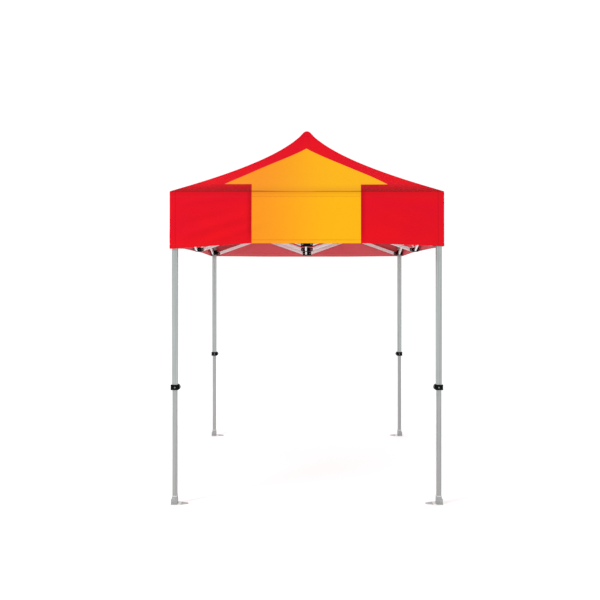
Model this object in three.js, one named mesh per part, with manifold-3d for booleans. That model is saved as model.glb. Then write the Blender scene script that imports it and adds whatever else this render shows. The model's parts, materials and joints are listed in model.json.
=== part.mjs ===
// Pop up canopy: a folding scissor-truss frame on four telescoping legs, under a square fabric cover.
// Millimetres, +Z up, the front towards -Y, origin on the ground under the peak.
import * as THREE from 'three';
import { mergeVertices } from 'three/addons/utils/BufferGeometryUtils.js';
import Module from 'manifold-3d';

const wasm = await Module();
wasm.setup();

// ---- Driving sizes ----
const COVER_WIDTH = 1524; // 5 ft square cover
const VALANCE_DROP = 305; // 12 in
const EAVE_Z = 1742;
const PEAK_Z = 2250;
const CLOTH = 3; // cover wall across the valance
const ROOF_WALL = 4; // cover wall, measured upright
const ROOF_POWER = 0.65; // how hollow the roof's slope is
const ROOF_TIP = 0.027; // rounding of the peak, as a share of half the width
const ROOF_RINGS = [1, 0.75, 0.5, 0.28, 0.14, 0.06, 0.02];

const LEG_AT = 737; // leg centre from the middle planes
const OUTER_LEG = 30;
const OUTER_WALL = 1.5;
const INNER_LEG = 25;
const INNER_WALL = 1.2;
const OUTER_LEG_BOTTOM = 641.3;
const OUTER_LEG_TOP = 1729;
const INNER_LEG_TOP = 1000;

const TOP_PIVOT_Z = 1690;
const SCISSOR_DROP = 240; // upper pivot row to lower pivot row, frame open
const LOW_PIVOT_Z = TOP_PIVOT_Z - SCISSOR_DROP;
const CORNER_PIVOT = 36; // pivot to leg centre
const SIDE_PIVOT = 24; // pivot to the middle of a side bracket
const HUB_PIVOT = 30; // pivot to the centre pole
const ARM_PIVOT = 30; // arm's outer pivot to the side truss plane

const BAR_HEIGHT = 22;
const BAR_THICK = 11;
const BAR_GAP = 2; // between the two bars of a scissor
const PIN_R = 3.2;
const HOLE_R = 3.8;
const LUG = 3; // lug plate thickness
const LUG_GAP = 0.5;
const LUG_REACH = 9; // lug plate past its pivot

const SLEEVE = 20; // half width of the sleeves round a leg
const SLEEVE_BORE = 15.5;
const POLE_R = 11;
const POLE_TOP = 2220;

// ---- Materials ----
const paint = (name, colour, roughness, metalness) =>
  new THREE.MeshStandardMaterial({ name, color: colour, roughness, metalness, side: THREE.FrontSide });
const LEG_METAL = paint('leg_metal', 0xb6bcbc, 0.42, 0.85);
const BAR_METAL = paint('bar_metal', 0xd2d5d6, 0.4, 0.8);
const FOOT_METAL = paint('foot_metal', 0xa9adae, 0.55, 0.7);
const BLACK = paint('black_plastic', 0x141516, 0.5, 0);
const GREY = paint('grey_plastic', 0x8b9092, 0.5, 0);
const CLOTH_RED = paint('cover_fabric', 0xdc1c2a, 0.85, 0);

const group = new THREE.Group();
group.name = 'pop_up_canopy';

// ---- Shape helpers ----
function toSolid(geometry) {
  const bare = geometry.clone();
  bare.deleteAttribute('normal');
  bare.deleteAttribute('uv');
  const m = mergeVertices(bare, 1e-4);
  return new wasm.Manifold(new wasm.Mesh({
    numProp: 3,
    vertProperties: Float32Array.from(m.attributes.position.array),
    triVerts: Uint32Array.from(m.index.array),
  }));
}

function toGeometry(solid) {
  const m = solid.getMesh();
  const g = new THREE.BufferGeometry();
  const points = new Float32Array((m.vertProperties.length / m.numProp) * 3);
  for (let i = 0; i < points.length / 3; i++) {
    for (let k = 0; k < 3; k++) points[3 * i + k] = m.vertProperties[m.numProp * i + k];
  }
  g.setAttribute('position', new THREE.BufferAttribute(points, 3));
  g.setIndex(Array.from(m.triVerts));
  return g;
}

function add(name, shape, material, matrix) {
  let g = shape.isBufferGeometry ? shape : toGeometry(shape);
  g = g.index ? g.toNonIndexed() : g;
  if (matrix) g.applyMatrix4(matrix);
  g.computeVertexNormals();
  const mesh = new THREE.Mesh(g, material);
  mesh.name = name;
  group.add(mesh);
}

const box = (x0, x1, y0, y1, z0, z1) =>
  toSolid(new THREE.BoxGeometry(x1 - x0, y1 - y0, z1 - z0)
    .translate((x0 + x1) / 2, (y0 + y1) / 2, (z0 + z1) / 2));

const joined = (solids) => solids.reduce((a, b) => a.add(b));

function arc(cx, cy, r, from, to, n) {
  return Array.from({ length: n + 1 }, (_, i) => {
    const a = from + ((to - from) * i) / n;
    return new THREE.Vector2(cx + r * Math.cos(a), cy + r * Math.sin(a));
  });
}

function ring(cx, cy, r, n) {
  return arc(cx, cy, r, Math.PI / n, Math.PI / n + 2 * Math.PI, n).slice(0, n);
}

// An upright plate or bar: outline in the local X-Z plane, from y0 to y1.
function upright(outline, holes, y0, y1) {
  const shape = new THREE.Shape(outline);
  for (const h of holes) shape.holes.push(new THREE.Path(h));
  const g = new THREE.ExtrudeGeometry(shape, { depth: y1 - y0, bevelEnabled: false, steps: 1 });
  return toSolid(g.rotateX(Math.PI / 2).translate(0, y1, 0));
}

// A round rod along local Y.
const rod = (x, z, r, y0, y1, n = 8) =>
  upright(ring(x, z, r, n), [], y0, y1);

// A square tube's section, extruded upwards.
function squareTube(half, bore, z0, z1) {
  const corners = (h) => [[-h, -h], [h, -h], [h, h], [-h, h]].map(([x, y]) => new THREE.Vector2(x, y));
  const shape = new THREE.Shape(corners(half));
  if (bore) shape.holes.push(new THREE.Path(corners(bore)));
  return toSolid(new THREE.ExtrudeGeometry(shape, { depth: z1 - z0, bevelEnabled: false })
    .translate(0, 0, z0));
}

// Local frame of a truss: X runs outwards along `out`, Y across the bars, Z up.
function trussFrame(out, origin) {
  const up = new THREE.Vector3(0, 0, 1);
  const across = new THREE.Vector3().crossVectors(up, out);
  return new THREE.Matrix4().makeBasis(out, across, up).setPosition(origin);
}

// The two lug plates and the pin that hold one bar's end.
// plane is +1 for the bar on the +Y side of the truss and -1 for the other.
function clevis(pivotX, pivotZ, fromX, plane, halfHeight = 10) {
  const near = BAR_GAP / 2 - LUG_GAP;
  const far = BAR_GAP / 2 + BAR_THICK + LUG_GAP;
  const toX = pivotX + Math.sign(pivotX - fromX) * LUG_REACH;
  const [xa, xb] = [Math.min(fromX, toX), Math.max(fromX, toX)];
  const plate = (a, b) => {
    const [ya, yb] = [Math.min(plane * a, plane * b), Math.max(plane * a, plane * b)];
    return box(xa, xb, ya, yb, pivotZ - halfHeight, pivotZ + halfHeight);
  };
  const pinEnds = [plane * (near - LUG / 2), plane * (far + LUG / 2)].sort((a, b) => a - b);
  return joined([
    plate(near - LUG, near),
    plate(far, far + LUG),
    rod(pivotX, pivotZ, PIN_R, pinEnds[0], pinEnds[1]),
  ]);
}

// One scissor bar between two pivots, with its holes; the "down" bar carries the middle rivet.
function scissorBar(x0, z0, x1, z1, plane) {
  const r = BAR_HEIGHT / 2;
  const tilt = Math.atan2(z1 - z0, x1 - x0);
  const outline = [
    ...arc(x1, z1, r, tilt - Math.PI / 2, tilt + Math.PI / 2, 4),
    ...arc(x0, z0, r, tilt + Math.PI / 2, tilt + (3 * Math.PI) / 2, 4),
  ];
  const middle = [(x0 + x1) / 2, (z0 + z1) / 2];
  const holes = [ring(x0, z0, HOLE_R, 8), ring(x1, z1, HOLE_R, 8)];
  if (plane < 0) holes.push(ring(middle[0], middle[1], HOLE_R, 8));
  const ys = [plane * (BAR_GAP / 2), plane * (BAR_GAP / 2 + BAR_THICK)].sort((a, b) => a - b);
  const bar = upright(outline, holes, ys[0], ys[1]);
  if (plane < 0) return bar;
  const end = -(BAR_GAP / 2 + BAR_THICK) - LUG_GAP;
  return bar
    .add(rod(middle[0], middle[1], PIN_R, end - 1, BAR_GAP / 2 + 2))
    .add(rod(middle[0], middle[1], PIN_R + 2.8, end - 2, end));
}

// ---- Directions ----
const SIDES = {
  front: new THREE.Vector3(0, -1, 0),
  right: new THREE.Vector3(1, 0, 0),
  back: new THREE.Vector3(0, 1, 0),
  left: new THREE.Vector3(-1, 0, 0),
};
const CORNERS = {
  front_left: ['front', 'left'],
  front_right: ['front', 'right'],
  back_right: ['back', 'right'],
  back_left: ['back', 'left'],
};
const ORIGIN = new THREE.Vector3(0, 0, 0);
const sideMiddle = (side) => SIDES[side].clone().multiplyScalar(LEG_AT);

// ---- Centre hubs, pole and pole head ----
function hubBody(z) {
  return [
    box(-17, 17, -17, 17, z - 14, z + 14),
    ...Object.values(SIDES).map((out) =>
      clevis(HUB_PIVOT, z, 16.5, z === TOP_PIVOT_Z ? 1 : -1).transform(
        trussFrame(out, ORIGIN).toArray())),
  ];
}

const poleHole = toSolid(new THREE.CylinderGeometry(POLE_R + 1.5, POLE_R + 1.5, 60, 12)
  .rotateX(Math.PI / 2).translate(0, 0, TOP_PIVOT_Z));
add('centre_hub_top', joined(hubBody(TOP_PIVOT_Z)).subtract(poleHole), BLACK);

const pole = toSolid(new THREE.CylinderGeometry(POLE_R, POLE_R, POLE_TOP - LOW_PIVOT_Z, 10)
  .rotateX(Math.PI / 2).translate(0, 0, (POLE_TOP + LOW_PIVOT_Z) / 2));
add('centre_hub_bottom_and_pole', joined([...hubBody(LOW_PIVOT_Z), pole]), BAR_METAL);

const headProfile = [
  [0, POLE_TOP + 0.4], [POLE_R + 0.5, POLE_TOP + 0.4], [POLE_R + 0.5, PEAK_Z - 62],
  [17, PEAK_Z - 62], [24, PEAK_Z - 52], [24, PEAK_Z - 45], [15, PEAK_Z - 26], [0, PEAK_Z - 16],
].map(([r, z]) => new THREE.Vector2(r, z));
add('pole_head', toSolid(new THREE.LatheGeometry(headProfile, 12).rotateX(Math.PI / 2)), BLACK);

// ---- Inner arms, side brackets and side trusses ----
const SPAN = LEG_AT - CORNER_PIVOT - SIDE_PIVOT;
for (const [side, out] of Object.entries(SIDES)) {
  const arm = trussFrame(out, ORIGIN);
  const near = HUB_PIVOT;
  const far = LEG_AT - ARM_PIVOT;
  add(`arm_${side}_down`, scissorBar(near, TOP_PIVOT_Z, far, LOW_PIVOT_Z, 1), BAR_METAL, arm);
  add(`arm_${side}_up`, scissorBar(near, LOW_PIVOT_Z, far, TOP_PIVOT_Z, -1), BAR_METAL, arm);

  // A side bracket is a channel of two plates round a web, with an ear for the arm. Local X is outwards.
  const plateAt = BAR_GAP / 2 + BAR_THICK + LUG_GAP;
  for (const [end, z, plane] of [['top', TOP_PIVOT_Z, 1], ['bottom', LOW_PIVOT_Z, -1]]) {
    const half = SIDE_PIVOT + LUG_REACH;
    const pieces = [
      box(LEG_AT - plateAt - LUG, LEG_AT - plateAt, -half, half, z - 14, z + 14),
      box(LEG_AT + plateAt, LEG_AT + plateAt + LUG, -half, half, z - 14, z + 14),
      box(LEG_AT - plateAt - 1, LEG_AT + plateAt + 1, -10, 10, z - 14, z + 14),
      clevis(far, z, LEG_AT - plateAt - 0.5, -plane),
    ];
    for (const y of [-SIDE_PIVOT, SIDE_PIVOT]) {
      const pin = rod(y, z, PIN_R, LEG_AT - plateAt - LUG / 2, LEG_AT + plateAt + LUG / 2);
      pieces.push(pin.rotate([0, 0, -90]));
    }
    add(`side_bracket_${side}_${end}`, joined(pieces), BLACK, arm);
  }

  for (const corner of Object.keys(CORNERS)) {
    if (!CORNERS[corner].includes(side)) continue;
    const towards = CORNERS[corner].find((s) => s !== side);
    const truss = trussFrame(SIDES[towards], sideMiddle(side));
    const name = `side_bar_${side}_${towards}`;
    add(`${name}_down`, scissorBar(SIDE_PIVOT, TOP_PIVOT_Z, SIDE_PIVOT + SPAN, LOW_PIVOT_Z, 1),
      BAR_METAL, truss);
    add(`${name}_up`, scissorBar(SIDE_PIVOT, LOW_PIVOT_Z, SIDE_PIVOT + SPAN, TOP_PIVOT_Z, -1),
      BAR_METAL, truss);
  }
}

// ---- Corner assemblies ----
// Local X points sideways towards the middle of the canopy, local Y is the canopy's own.
for (const [corner, [yside, xside]] of Object.entries(CORNERS)) {
  const centre = sideMiddle(yside).add(sideMiddle(xside));
  const place = new THREE.Matrix4().makeTranslation(centre.x, centre.y, 0);
  const inward = -Math.sign(centre.x);

  add(`outer_leg_${corner}`,
    squareTube(OUTER_LEG / 2, OUTER_LEG / 2 - OUTER_WALL, OUTER_LEG_BOTTOM, OUTER_LEG_TOP),
    LEG_METAL, place);

  // The clevises of the two trusses that meet at this corner, in world coordinates.
  const lugs = (z, plane) => [[yside, xside], [xside, yside]].map(([side, towards]) =>
    clevis(LEG_AT - CORNER_PIVOT, z, LEG_AT - SLEEVE + 0.5, plane)
      .transform(trussFrame(SIDES[towards], sideMiddle(side)).toArray()));
  const at = (solid) => solid.translate([centre.x, centre.y, 0]);

  const cap = box(-SLEEVE, SLEEVE, -SLEEVE, SLEEVE, TOP_PIVOT_Z - 26, OUTER_LEG_TOP + 4)
    .subtract(box(-SLEEVE_BORE, SLEEVE_BORE, -SLEEVE_BORE, SLEEVE_BORE, 0, OUTER_LEG_TOP + 0.4));
  add(`top_bracket_${corner}`, joined([at(cap), ...lugs(TOP_PIVOT_Z, -1)]), BLACK);

  const slider = squareTube(SLEEVE, SLEEVE_BORE, LOW_PIVOT_Z - 12, LOW_PIVOT_Z + 25);
  add(`leg_slider_${corner}`, joined([at(slider), ...lugs(LOW_PIVOT_Z, 1)]), BLACK);

  // Clamp: a collar that ends the outer leg, a block on its inner side and a recess for the button.
  const flip = (solid) => (inward > 0 ? solid : solid.mirror([1, 0, 0]));
  const collar = joined([
    box(-20.5, 20.5, -20.5, 20.5, 637, 666),
    box(20, 26.5, -10, 10, 640, 664),
  ])
    .subtract(box(-15.3, 15.3, -15.3, 15.3, OUTER_LEG_BOTTOM - 0.3, 700))
    .subtract(box(-13, 13, -13, 13, 600, 700))
    .subtract(box(18, 40, -6, 6, 645, 659));
  add(`leg_clamp_${corner}`, flip(collar), BLACK, place);
  add(`clamp_button_${corner}`, flip(box(22.5, 31, -5.6, 5.6, 645.4, 658.6)), GREY, place);

  // Inner leg with its cast foot: socket, block, base and an ear with a stake hole.
  const h = INNER_LEG / 2;
  const tube = box(-h, h, -h, h, 2, INNER_LEG_TOP)
    .subtract(box(-h + INNER_WALL, h - INNER_WALL, -h + INNER_WALL, h - INNER_WALL, 12, 2000));
  const ear = new THREE.Shape([
    [-20, -23], [22, -23], [68, -7], [76, 0], [68, 7], [22, 23], [-20, 23],
  ].map(([x, y]) => new THREE.Vector2(x, y)));
  ear.holes.push(new THREE.Path(ring(36, 0, 7, 8)));
  const base = toSolid(new THREE.ExtrudeGeometry(ear, { depth: 4, bevelEnabled: false }));
  const foot = joined([
    base,
    box(-20, 15, -16, 16, 3, 27),
    box(-14.5, 14.5, -14.5, 14.5, 20, 45),
  ]);
  const footCut = box(-h + INNER_WALL, h - INNER_WALL, -h + INNER_WALL, h - INNER_WALL, 12, 60);
  add(`inner_leg_${corner}`, flip(joined([foot, tube]).subtract(footCut)), FOOT_METAL, place);
}

// ---- Fabric cover ----
// Height of the roof at `share` of the way from the peak to the eave.
function roofZ(share) {
  const run = (t) => Math.pow(t * t + ROOF_TIP * ROOF_TIP, ROOF_POWER / 2) - Math.pow(ROOF_TIP, ROOF_POWER);
  return PEAK_Z - (PEAK_Z - EAVE_Z) * (run(share) / run(1));
}

function coverGeometry() {
  const points = [];
  const faces = [];
  const square = (half, z) => {
    const first = points.length / 3;
    for (const [x, y] of [[-1, -1], [1, -1], [1, 1], [-1, 1]]) points.push(x * half, y * half, z);
    return first;
  };
  const band = (low, high) => {
    for (let i = 0; i < 4; i++) {
      const j = (i + 1) % 4;
      faces.push(low + i, low + j, high + j, low + i, high + j, high + i);
    }
  };
  const skin = (half, drop, outside) => {
    const rings = [square(half, EAVE_Z - VALANCE_DROP)];
    for (const share of ROOF_RINGS) rings.push(square(half * share, roofZ(share) - drop));
    for (let i = 0; i + 1 < rings.length; i++) {
      if (outside) band(rings[i], rings[i + 1]);
      else band(rings[i + 1], rings[i]);
    }
    const tip = points.length / 3;
    points.push(0, 0, PEAK_Z - drop);
    const top = rings[rings.length - 1];
    for (let i = 0; i < 4; i++) {
      const j = (i + 1) % 4;
      if (outside) faces.push(top + i, top + j, tip);
      else faces.push(top + j, top + i, tip);
    }
    return rings[0];
  };
  const outer = skin(COVER_WIDTH / 2, 0, true);
  const inner = skin(COVER_WIDTH / 2 - CLOTH, ROOF_WALL, false);
  band(inner, outer);
  const g = new THREE.BufferGeometry();
  g.setAttribute('position', new THREE.Float32BufferAttribute(points, 3));
  g.setIndex(faces);
  return g;
}
add('canopy_cover', coverGeometry(), CLOTH_RED);

export default group;
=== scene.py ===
"""Looks for the pop up canopy: a printed cover on a folding frame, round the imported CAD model."""

import json
import math

import bmesh
import bpy
import numpy as np
from mathutils import Matrix, Vector

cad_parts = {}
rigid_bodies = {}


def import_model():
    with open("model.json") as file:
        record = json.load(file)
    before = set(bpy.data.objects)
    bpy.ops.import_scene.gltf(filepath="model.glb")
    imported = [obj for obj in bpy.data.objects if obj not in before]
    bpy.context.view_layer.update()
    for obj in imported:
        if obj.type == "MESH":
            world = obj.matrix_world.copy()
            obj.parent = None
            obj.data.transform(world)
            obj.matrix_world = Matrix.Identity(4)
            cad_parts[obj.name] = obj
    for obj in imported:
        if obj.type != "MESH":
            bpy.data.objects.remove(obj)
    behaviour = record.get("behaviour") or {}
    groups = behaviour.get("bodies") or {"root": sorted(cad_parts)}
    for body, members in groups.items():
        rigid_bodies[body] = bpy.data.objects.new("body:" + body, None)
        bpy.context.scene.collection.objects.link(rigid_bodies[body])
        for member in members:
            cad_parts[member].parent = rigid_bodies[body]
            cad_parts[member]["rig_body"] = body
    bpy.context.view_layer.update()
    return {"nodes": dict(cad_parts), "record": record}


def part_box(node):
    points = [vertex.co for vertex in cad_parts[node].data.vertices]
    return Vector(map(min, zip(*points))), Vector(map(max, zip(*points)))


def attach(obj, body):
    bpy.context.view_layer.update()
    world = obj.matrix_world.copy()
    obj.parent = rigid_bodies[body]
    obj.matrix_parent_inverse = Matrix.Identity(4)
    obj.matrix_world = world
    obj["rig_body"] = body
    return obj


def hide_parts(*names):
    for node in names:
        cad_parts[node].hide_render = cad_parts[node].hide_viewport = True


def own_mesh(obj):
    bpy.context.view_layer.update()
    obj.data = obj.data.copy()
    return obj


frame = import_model()
RNG = np.random.default_rng(20)

# ---- Sizes, in metres: the cover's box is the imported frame's, and the rest is as in the CAD ----
LOW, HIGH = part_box("canopy_cover")
HALF = HIGH.x  # half the cover's width
PEAK_Z, HEM_Z = HIGH.z, LOW.z
VALANCE = 0.305
EAVE_Z = HEM_Z + VALANCE
CLOTH = 0.0013  # the cloth's thickness
ROOF_POWER, ROOF_TIP = 0.65, 0.027  # how hollow the slope is, and how round its tip
HEAD_SWELL, HEAD_RADIUS = 0.0030, 0.0205  # the cover over the round pole head
TOP_Z, LOW_Z = 1.690, 1.450  # the frame's upper and lower rows of pivots
LEG_AT = 0.737  # the legs' distance from the middle, along X and along Y
ARM_PIVOT, BAR_PIVOT, LEG_PIVOT = 0.030, 0.024, 0.036  # pivots from the brackets' and legs' centres
PLATE = 0.0155  # outer face of a bracket's lug plate, from the truss's plane
INNER_PLATE = 0.0025  # and the face of its other plate, on the plane's far side
SIDES = ("front", "right", "back", "left")
OUT = {"front": (0, -1), "right": (1, 0), "back": (0, 1), "left": (-1, 0)}
CORNERS = {
    "front_left": ("front", "left"),
    "front_right": ("front", "right"),
    "back_right": ("back", "right"),
    "back_left": ("back", "left"),
}


def smooth(x, low, high):
    t = np.clip((np.asarray(x, float) - low) / (high - low), 0, 1)
    return t * t * (3 - 2 * t)


def bell(x, width):
    """1 where x is 0, fading out over about twice the width to either side."""
    return np.exp(-((x / width) ** 2))


# ---- Node graphs ----
class Graph:
    """A material's nodes, written as calls."""

    def __init__(self, name):
        self.material = bpy.data.materials.new(name)
        self.material.use_nodes = True
        self.tree = self.material.node_tree
        self.shader = self.tree.nodes["Principled BSDF"]

    def node(self, kind, **values):
        n = self.tree.nodes.new(kind)
        for key, value in values.items():
            setattr(n, key, value)
        return n

    def put(self, socket, value):
        if isinstance(value, bpy.types.NodeSocket):
            self.tree.links.new(value, socket)
        elif value is not None:
            socket.default_value = value

    def math(self, operation, a, b=None):
        n = self.node("ShaderNodeMath", operation=operation)
        for socket, value in zip(n.inputs, (a, b)):
            self.put(socket, value)
        return n.outputs[0]

    def span(self, value, low, high, to_low=0.0, to_high=1.0):
        n = self.node("ShaderNodeMapRange", interpolation_type="SMOOTHSTEP")
        keys = ("Value", "From Min", "From Max", "To Min", "To Max")
        for key, v in zip(keys, (value, low, high, to_low, to_high)):
            self.put(n.inputs[key], v)
        return n.outputs[0]

    def mix(self, factor, a, b, blend="MIX"):
        n = self.node("ShaderNodeMix", data_type="RGBA", blend_type=blend)
        self.put(n.inputs["Factor"], factor)
        for key, v in (("A", a), ("B", b)):
            socket = [s for s in n.inputs if s.name == key and s.type == "RGBA"][0]
            self.put(socket, v if isinstance(v, bpy.types.NodeSocket) else (*v, 1))
        return [s for s in n.outputs if s.type == "RGBA"][0]

    def noise(self, vector, scale, detail=3.0, rough=0.55):
        n = self.node("ShaderNodeTexNoise")
        self.put(n.inputs["Vector"], vector)
        n.inputs["Scale"].default_value = scale
        n.inputs["Detail"].default_value = detail
        n.inputs["Roughness"].default_value = rough
        return n.outputs["Fac"]

    def mapped(self, vector, scale):
        n = self.node("ShaderNodeMapping")
        self.put(n.inputs["Vector"], vector)
        n.inputs["Scale"].default_value = scale
        return n.outputs["Vector"]

    def bump(self, height, strength, distance, normal=None):
        n = self.node("ShaderNodeBump")
        n.inputs["Strength"].default_value = strength
        n.inputs["Distance"].default_value = distance
        self.put(n.inputs["Height"], height)
        self.put(n.inputs["Normal"], normal)
        return n.outputs["Normal"]

    def uv(self, name):
        return self.node("ShaderNodeUVMap", uv_map=name).outputs["UV"]

    def place(self):
        return self.node("ShaderNodeTexCoord").outputs["Object"]

    def split(self, vector):
        n = self.node("ShaderNodeSeparateXYZ")
        self.put(n.inputs[0], vector)
        return n.outputs

    def finish(self, colour, rough, normal=None, **fixed):
        self.put(self.shader.inputs["Base Color"], colour)
        self.put(self.shader.inputs["Roughness"], rough)
        self.put(self.shader.inputs["Normal"], normal)
        for key, value in fixed.items():
            self.shader.inputs[key.replace("_", " ")].default_value = value
        return self.material


THREADS = 6900.0  # radians a metre: two crossing waves, 0.9 mm from thread to thread
STITCH, THREAD = 0.0045, 0.0006  # a stitch's pitch and half a seam thread's width
STITCH_ROWS = (0.028, 0.031, 0.283, 0.286)  # metres below the eave: the band's and the hem's seams


def weave(g, cloth):
    """(normal, threads): a plain oxford weave over soft crumples."""
    parts = g.split(cloth)
    warp = g.math("SINE", g.math("MULTIPLY", parts[0], THREADS))
    weft = g.math("SINE", g.math("MULTIPLY", parts[1], THREADS))
    threads = g.math("MULTIPLY", warp, weft)
    crumple = g.noise(g.mapped(cloth, (1.0, 1.6, 1.0)), 22.0, 5.0, 0.6)
    n = g.bump(crumple, 0.35, 0.004)
    return g.bump(threads, 0.25, 0.0003, n), threads


def stitch_rows(g, v):
    """1 on the thread dashes of the valance's seams; v is the print's second coordinate."""
    along, over, _ = g.split(valance_metres(g, v))
    dash = g.math("GREATER_THAN", g.math("FRACT", g.math("MULTIPLY", along, 1 / STITCH)), 0.3)
    total = None
    for at in STITCH_ROWS:
        near = g.math("LESS_THAN", g.math("ABSOLUTE", g.math("SUBTRACT", over, at)), THREAD)
        total = near if total is None else g.math("MAXIMUM", total, near)
    return g.math("MULTIPLY", total, dash)


RED = (0.640, 0.0060, 0.0170)
# The darker red below is only for painted shade and painted shadow on the print.
RED_PAINTED_SHADE = (0.330, 0.0045, 0.0085)
RED_HOT = (0.690, 0.0070, 0.0130)
ORANGE, GOLD = (0.800, 0.262, 0.016), (0.830, 0.400, 0.008)
# The arrow panel: half widths of its neck and head in metres, then where its head starts and ends
# from peak (0) to eave (1).
NECK, HEAD, HEAD_TOP, HEAD_BASE = 0.303, 0.468, 0.190, 0.843
ARROW_OFF, BOW, FLARE = 0.0035, 0.36, 0.065  # its shift to the left, bowed head and widening neck
CORNER_SEAM = 0.729  # a valance's end seams, in metres from its middle


def cover_outside():
    """Printed polyester: red, with a plain arrow panel on the front."""
    g = Graph("cover_print")
    printed, cloth = g.uv("print"), g.uv("cloth")
    x, v, _ = g.split(printed)
    reach = g.math("ABSOLUTE", g.math("ADD", x, ARROW_OFF))
    # The arrow: a head on the roof, and a neck from its base down over the valance.
    s = g.math("DIVIDE", g.math("SUBTRACT", v, HEAD_TOP), HEAD_BASE - HEAD_TOP)
    bow = g.math("MULTIPLY", g.math("MULTIPLY", s, g.math("SUBTRACT", 1.0, s)), BOW)
    half = g.math("MULTIPLY", g.math("ADD", s, bow), HEAD)
    in_head = g.math("MULTIPLY", g.math("LESS_THAN", reach, half), g.math("LESS_THAN", v, HEAD_BASE))
    above_eave = g.math("MAXIMUM", g.math("SUBTRACT", 1.0, v), 0.0)
    neck = g.math("ADD", g.math("MULTIPLY", above_eave, FLARE), NECK)
    past_head = g.math("GREATER_THAN", v, HEAD_BASE - 0.001)
    in_neck = g.math("MULTIPLY", g.math("LESS_THAN", reach, neck), past_head)
    arrow = g.math("MAXIMUM", in_head, in_neck)
    # Red: slow tone changes, with painted shade deepening towards the eave and a painted shadow beside and
    # under the arrow.
    tone = g.noise(g.mapped(cloth, (1.0, 2.0, 1.0)), 2.4, 2.0)
    red = g.mix(g.span(tone, 0.35, 0.7), RED, RED_HOT)
    # Painted shade: the roof's red and yellow darken towards the eave.
    painted_eave_shade = g.math("MULTIPLY", g.span(v, 0.80, 0.999), g.math("LESS_THAN", v, 1.0))
    red = g.mix(g.math("MULTIPLY", painted_eave_shade, 0.75), red, RED_PAINTED_SHADE)
    front = g.math("LESS_THAN", reach, 0.9)
    # Painted shadow under the arrow's head, on the roof below its base.
    under = g.math("MULTIPLY", g.span(v, HEAD_BASE - 0.002, HEAD_BASE + 0.004), g.math("LESS_THAN", v, 1.0))
    under = g.math("MULTIPLY", under, g.span(reach, 0.62, 0.30))
    red = g.mix(g.math("MULTIPLY", g.math("MULTIPLY", under, front), 0.55), red, RED_PAINTED_SHADE)
    # Painted shadow beside the arrow's neck on the valance.
    beside = g.math("MULTIPLY", g.span(reach, NECK + 0.035, NECK), g.math("GREATER_THAN", v, 1.0))
    red = g.mix(g.math("MULTIPLY", beside, 0.6), red, RED_PAINTED_SHADE)
    low = g.math("MULTIPLY", g.span(v, 1.72, 2.0), 0.6)
    red = g.mix(low, red, RED_HOT)
    yellow = g.mix(g.span(x, -0.34, 0.20), ORANGE, GOLD)
    # Painted shade on the yellow towards the eave.
    yellow = g.mix(g.math("MULTIPLY", painted_eave_shade, 0.30), yellow, (0.56, 0.20, 0.010))
    colour = g.mix(arrow, red, yellow)
    # The eave seam, its stitched band, the end seams and the stitches.
    band = g.math("MULTIPLY", g.span(v, 1.10, 1.0), g.math("GREATER_THAN", v, 1.0))
    colour = g.mix(g.math("MULTIPLY", band, 0.20), colour, (0.22, 0.010, 0.010))
    seam = g.span(g.math("ABSOLUTE", g.math("SUBTRACT", v, 1.0)), 0.011, 0.001)
    colour = g.mix(g.math("MULTIPLY", seam, 0.75), colour, (0.15, 0.010, 0.006))
    # Each side's print starts 2 m on from the last, so this brings x back to its own side's middle.
    turns = g.math("FRACT", g.math("DIVIDE", g.math("ADD", x, 1.0), 2.0))
    own_x = g.math("SUBTRACT", g.math("MULTIPLY", turns, 2.0), 1.0)
    from_seam = g.math("ABSOLUTE", g.math("SUBTRACT", g.math("ABSOLUTE", own_x), CORNER_SEAM))
    edge = g.math("MULTIPLY", g.span(from_seam, 0.004, 0.0005), g.math("GREATER_THAN", v, 1.0))
    colour = g.mix(g.math("MULTIPLY", edge, 0.35), colour, (0.30, 0.006, 0.009))
    stitches = stitch_rows(g, v)
    colour = g.mix(g.math("MULTIPLY", stitches, 0.5), colour, (0.62, 0.03, 0.03))
    normal, threads = weave(g, cloth)
    # Painted shade in the weave's thread valleys, up to a tenth darker.
    colour = g.mix(g.span(threads, -0.2, 0.9, 0.10, 0.0), colour, (0.0, 0.0, 0.0))
    normal = g.bump(stitches, 0.6, 0.0006, normal)
    rough = g.span(g.noise(cloth, 60.0), 0.2, 0.8, 0.50, 0.64)
    return g.finish(colour, rough, normal, Specular_IOR_Level=0.006)


def valance_metres(g, v):
    """(metres along the side, metres below the eave) as a vector."""
    x = g.split(g.uv("cloth"))[0]
    n = g.node("ShaderNodeCombineXYZ")
    g.put(n.inputs[0], x)
    g.put(n.inputs[1], g.math("MULTIPLY", g.math("SUBTRACT", v, 1.0), VALANCE))
    return n.outputs[0]


def cover_inside():
    """The coated back of the cloth, pale pink: the coating's colour with painted light in it, for the glow of
    the red print lit through the cloth, which lets no light through here.
    """
    g = Graph("cover_coating")
    cloth = g.uv("cloth")
    v = g.split(g.uv("print"))[1]
    tone = g.noise(g.mapped(cloth, (1.0, 2.0, 1.0)), 3.0, 3.0)
    colour = g.mix(g.span(tone, 0.3, 0.7), (0.690, 0.128, 0.146), (0.645, 0.108, 0.128))
    hem = g.span(v, 1.915, 1.935)
    colour = g.mix(g.math("MULTIPLY", hem, 0.35), colour, (0.670, 0.135, 0.150))
    stitches = stitch_rows(g, v)
    colour = g.mix(g.math("MULTIPLY", stitches, 0.6), colour, (0.75, 0.06, 0.07))
    normal, _ = weave(g, cloth)
    rough = g.span(g.noise(cloth, 45.0), 0.2, 0.8, 0.42, 0.58)
    return g.finish(colour, rough, normal, Specular_IOR_Level=0.03)


EAR_ROOT = 0.711  # how far out a foot's ear leaves its base, along X


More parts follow.
